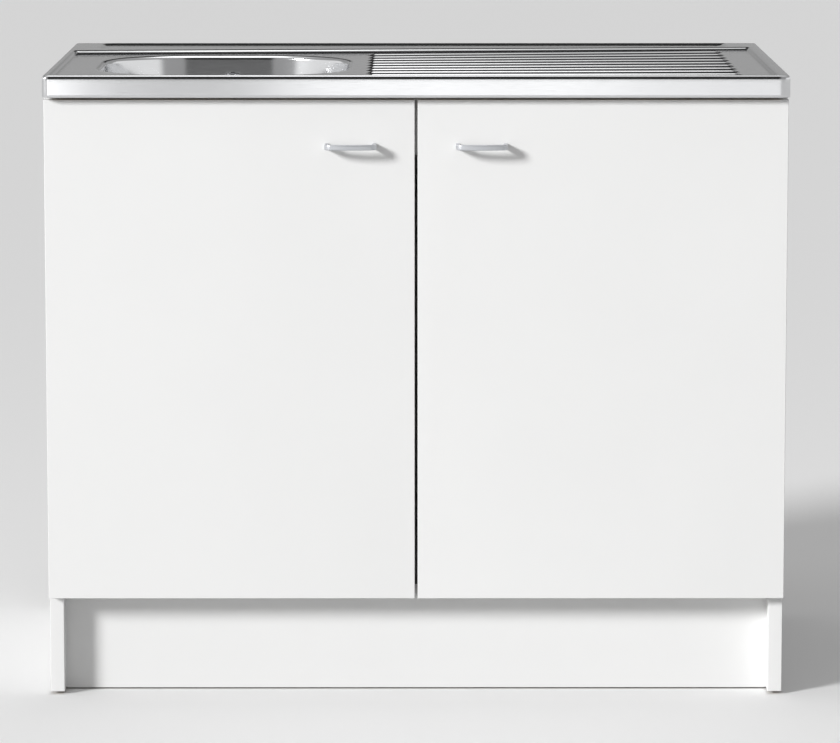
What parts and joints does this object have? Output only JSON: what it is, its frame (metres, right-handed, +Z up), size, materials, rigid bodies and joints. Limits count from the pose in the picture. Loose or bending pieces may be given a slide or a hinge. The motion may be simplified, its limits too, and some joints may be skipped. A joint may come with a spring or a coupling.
{
  "type": "kitchen sink base cabinet",
  "caption": "Free-standing kitchen sink unit with a pressed steel sink top, bowl, ribbed drainer and two hinged doors.",
  "frame": {"origin": "on the floor, under the middle of the unit's overall box", "axes": "+Z up, +X to the right seen from the front, +Y from the front to the back"},
  "size_m": [1, 0.613, 0.85],
  "materials": {
    "white_board": "white melamine faced board, satin",
    "hardboard": "thin white faced hardboard",
    "zinc_steel": "zinc plated steel",
    "hinge_nickel": "nickel plated",
    "glide_plastic": "moulded plastic",
    "stainless_sheet": "satin stainless sheet",
    "batten_wood": "raw chipboard strip",
    "black_rubber": "rubber seal",
    "drain_plastic": "white polypropylene",
    "handle_metal": "satin grey metal",
    "clear_silicone": "translucent silicone"
  },
  "bodies": {
    "carcass": {"left_side_panel": "white_board", "right_side_panel": "white_board", "bottom_panel": "white_board", "front_top_rail": "white_board", "rear_top_rail": "white_board", "back_panel": "hardboard", "kick_board": "white_board", "kick_board_brackets": "zinc_steel", "floor_glides": "glide_plastic", "assembly_screws": "zinc_steel", "sink_deck": "stainless_sheet", "sink_bowl": "stainless_sheet", "support_battens": "batten_wood", "sink_brackets": "zinc_steel", "sink_bracket_screws": "zinc_steel", "waste_flange": "stainless_sheet", "waste_gasket": "black_rubber", "waste_body": "drain_plastic", "waste_screw": "stainless_sheet", "overflow_rosette": "stainless_sheet", "overflow_elbow": "drain_plastic", "overflow_tube": "drain_plastic", "trap_inlet_nut": "drain_plastic", "trap_inlet_pipe": "drain_plastic", "trap_body": "drain_plastic", "trap_cup": "drain_plastic", "trap_outlet_nut": "drain_plastic", "outlet_pipe": "drain_plastic", "hinge_plate_screws": "zinc_steel", "catch_magnets": "glide_plastic", "left_lower_hinge_plate": "hinge_nickel", "left_lower_hinge_arm": "hinge_nickel", "left_upper_hinge_plate": "hinge_nickel", "left_upper_hinge_arm": "hinge_nickel", "right_lower_hinge_plate": "hinge_nickel", "right_lower_hinge_arm": "hinge_nickel", "right_upper_hinge_plate": "hinge_nickel", "right_upper_hinge_arm": "hinge_nickel"},
    "left_door": {"left_door": "white_board", "left_handle": "handle_metal", "left_handle_screws": "zinc_steel", "left_hinge_cup_screws": "zinc_steel", "left_door_bumpers": "clear_silicone", "left_strike_plate": "zinc_steel", "left_lower_hinge_cup": "hinge_nickel", "left_lower_hinge_pin": "hinge_nickel", "left_upper_hinge_cup": "hinge_nickel", "left_upper_hinge_pin": "hinge_nickel"},
    "right_door": {"right_door": "white_board", "right_handle": "handle_metal", "right_handle_screws": "zinc_steel", "right_hinge_cup_screws": "zinc_steel", "right_door_bumpers": "clear_silicone", "right_strike_plate": "zinc_steel", "right_lower_hinge_cup": "hinge_nickel", "right_lower_hinge_pin": "hinge_nickel", "right_upper_hinge_cup": "hinge_nickel", "right_upper_hinge_pin": "hinge_nickel"},
    "strainer": {"basket_strainer": "stainless_sheet"}
  },
  "joints": [
    {"name": "left_door_hinge", "type": "hinge", "parent": "carcass", "child": "left_door", "pos_m": [-0.492, -0.2711, 0.4765], "axis": [0, 0, -1], "range_deg": [0, 100]},
    {"name": "right_door_hinge", "type": "hinge", "parent": "carcass", "child": "right_door", "pos_m": [0.492, -0.2711, 0.4765], "axis": [0, 0, 1], "range_deg": [0, 100]},
    {"name": "strainer_lift", "type": "slide", "parent": "carcass", "child": "strainer", "axis": [0, 0, 1], "range_m": [0, 0.12]}
  ]
}
